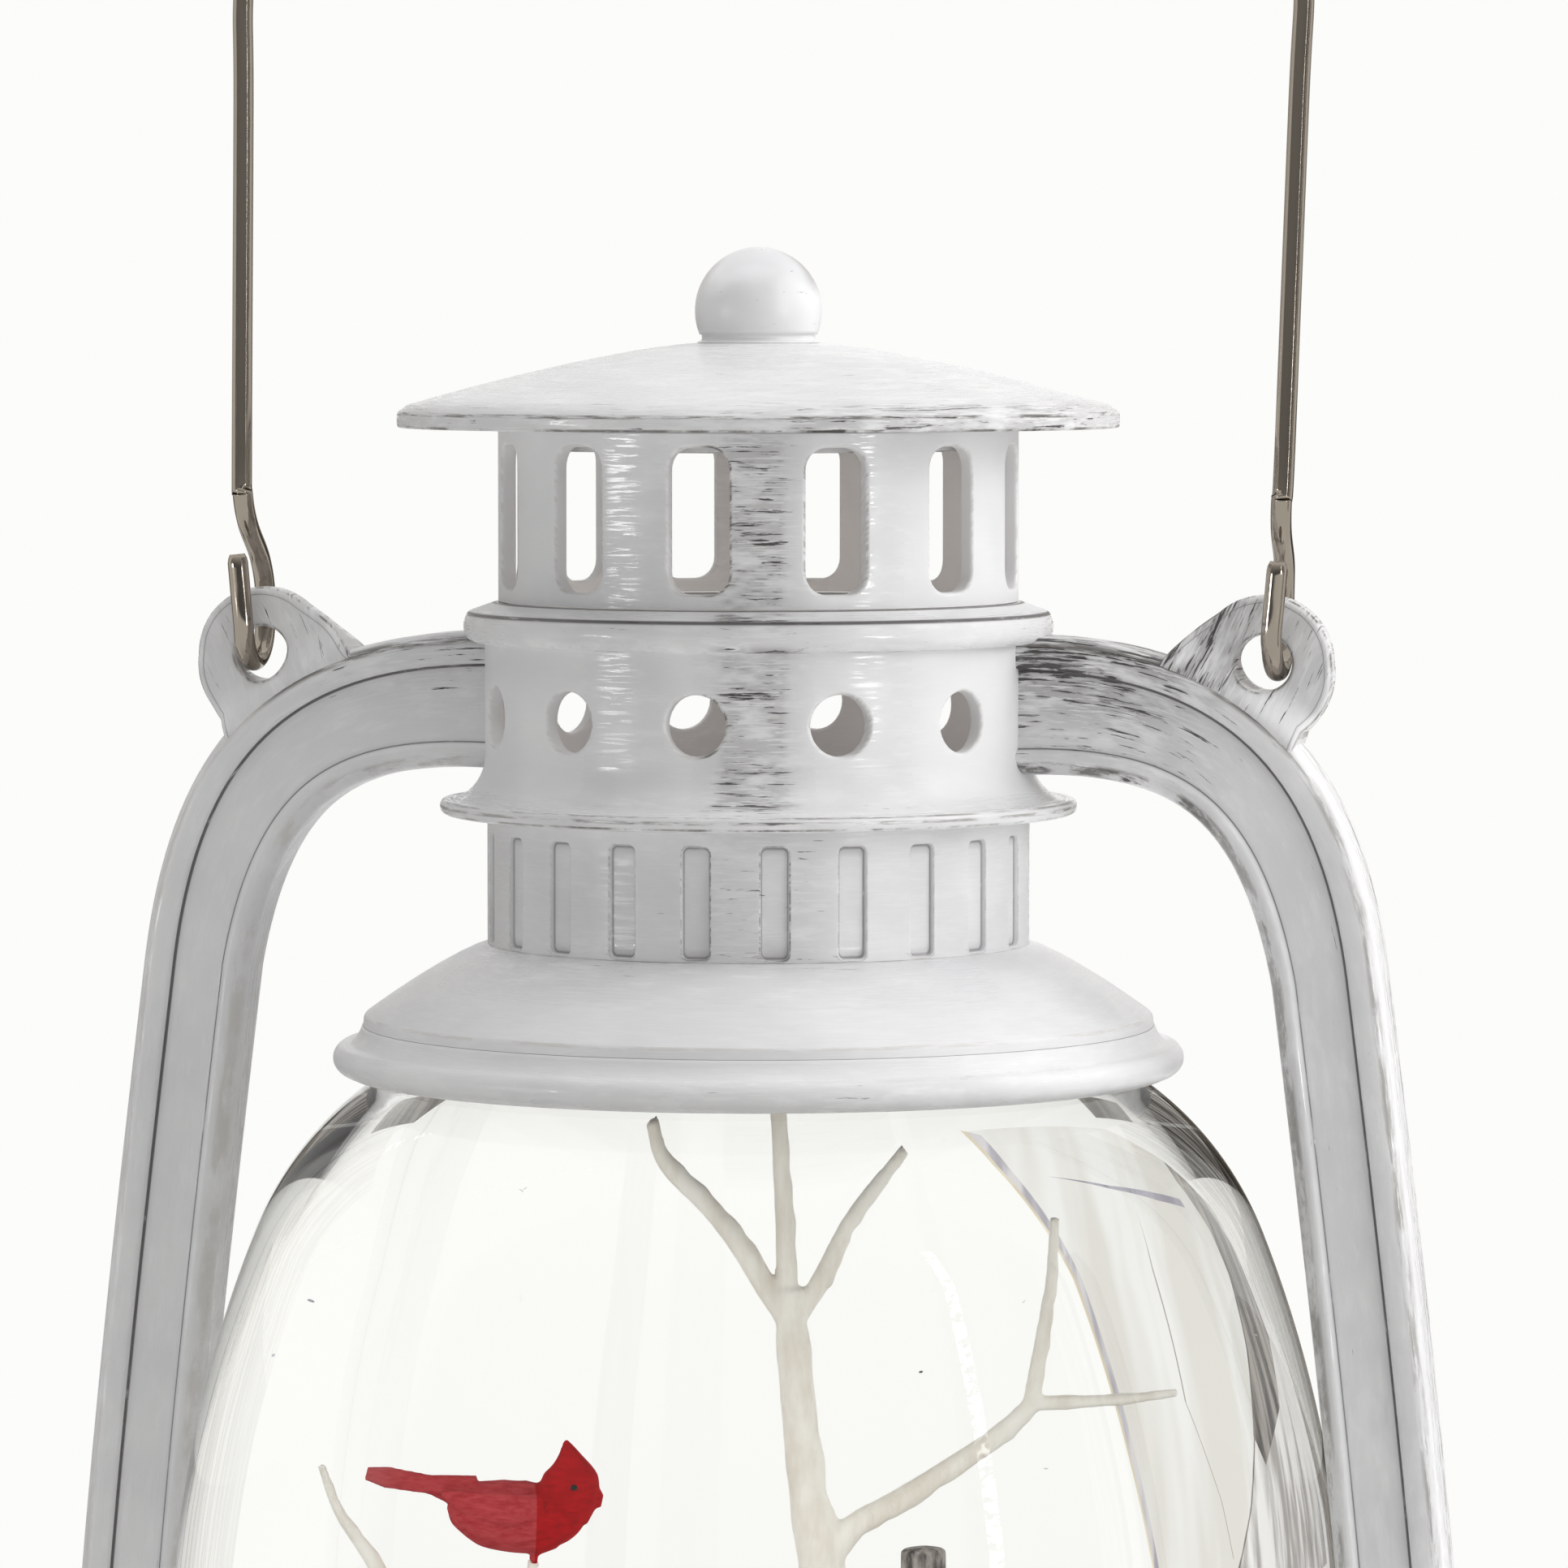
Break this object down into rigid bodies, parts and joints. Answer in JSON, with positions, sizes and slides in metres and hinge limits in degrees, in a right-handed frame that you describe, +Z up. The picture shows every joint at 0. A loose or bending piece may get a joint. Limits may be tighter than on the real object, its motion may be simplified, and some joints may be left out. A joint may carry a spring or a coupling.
{
  "type": "hurricane lantern water globe",
  "caption": "Hurricane-lantern-shaped clear globe with a winter scene, vented cap, side arms and a swinging wire bail.",
  "frame": {"origin": "on the floor under the lantern's vertical axis", "axes": "+Z up the axis, arms and bail hooks along +X and -X, front towards -Y"},
  "size_m": [0.1406, 0.116, 0.3133],
  "materials": {
    "white_paint": "satin dry-brushed white paint over dark casting",
    "knob_paint": "worn silvery white metallic paint",
    "wire": "polished nickel-plated wire",
    "clear_globe": "clear gloss moulded acrylic",
    "seal_rubber": "matt black rubber",
    "snow": "matt white with fine glitter",
    "tree_paint": "matt off-white painted resin",
    "birch_paint": "streaked grey-brown painted resin",
    "bird_red": "matt red painted resin",
    "inner_plastic": "plain moulded plastic",
    "black_plastic": "plain black moulded plastic",
    "magnet": "sintered magnet",
    "bright_metal": "bright plated steel",
    "board": "green board",
    "led_lens": "warm white lamp lens",
    "cell_skin": "plain battery sleeve",
    "pad_rubber": "matt grey rubber"
  },
  "bodies": {
    "lamp_body": {"cap_knob": "knob_paint", "knob_nut": "bright_metal", "cap_roof": "white_paint", "upper_gallery": "white_paint", "lower_gallery": "white_paint", "gallery_screws": "bright_metal", "fluted_neck": "white_paint", "globe_hood": "white_paint", "hood_gasket": "seal_rubber", "globe": "clear_globe", "fill_plug": "seal_rubber", "left_arm": "white_paint", "right_arm": "white_paint", "globe_gasket": "seal_rubber", "scene_plug": "inner_plastic", "snow_mound": "snow", "main_tree": "tree_paint", "left_sapling": "tree_paint", "birch_post": "birch_paint", "cardinal": "bird_red", "impeller_pin": "bright_metal", "motor": "bright_metal", "motor_mount": "inner_plastic", "led_board": "board", "leds": "led_lens", "globe_seat": "white_paint", "base_tank": "white_paint", "base_foot": "white_paint", "bottom_cover": "inner_plastic", "cover_screws": "bright_metal", "arm_screws": "bright_metal", "rubber_pads": "pad_rubber", "battery_box": "black_plastic", "batteries": "cell_skin", "battery_contacts": "bright_metal", "circuit_board": "board", "switch_body": "black_plastic"},
    "bail": {"bail_handle": "wire"},
    "agitator": {"impeller": "inner_plastic", "impeller_magnet": "magnet"},
    "drive": {"motor_shaft": "bright_metal", "drive_hub": "inner_plastic", "drive_magnets": "magnet"},
    "battery_door": {"battery_door": "inner_plastic"},
    "switch_slider": {"switch_slider": "black_plastic"}
  },
  "joints": [
    {"name": "bail_swing", "type": "hinge", "parent": "lamp_body", "child": "bail", "pos_m": [0, 0, 0.2096], "axis": [1, 0, 0], "range_deg": [-100, 115]},
    {"name": "drive_spin", "type": "hinge", "parent": "lamp_body", "child": "drive", "pos_m": [0, 0, 0.03], "axis": [0, 0, 1], "continuous": true},
    {"name": "agitator_spin", "type": "hinge", "parent": "lamp_body", "child": "agitator", "pos_m": [0, 0, 0.046], "axis": [0, 0, 1], "continuous": true},
    {"name": "battery_door_pull", "type": "slide", "parent": "lamp_body", "child": "battery_door", "axis": [0, 0, -1], "range_m": [0, 0.03]},
    {"name": "switch_slide", "type": "slide", "parent": "lamp_body", "child": "switch_slider", "axis": [1, 0, 0], "range_m": [0, 0.004]}
  ],
  "couplings": [
    {"joint": "agitator_spin", "follows": "drive_spin", "ratio": 1}
  ]
}
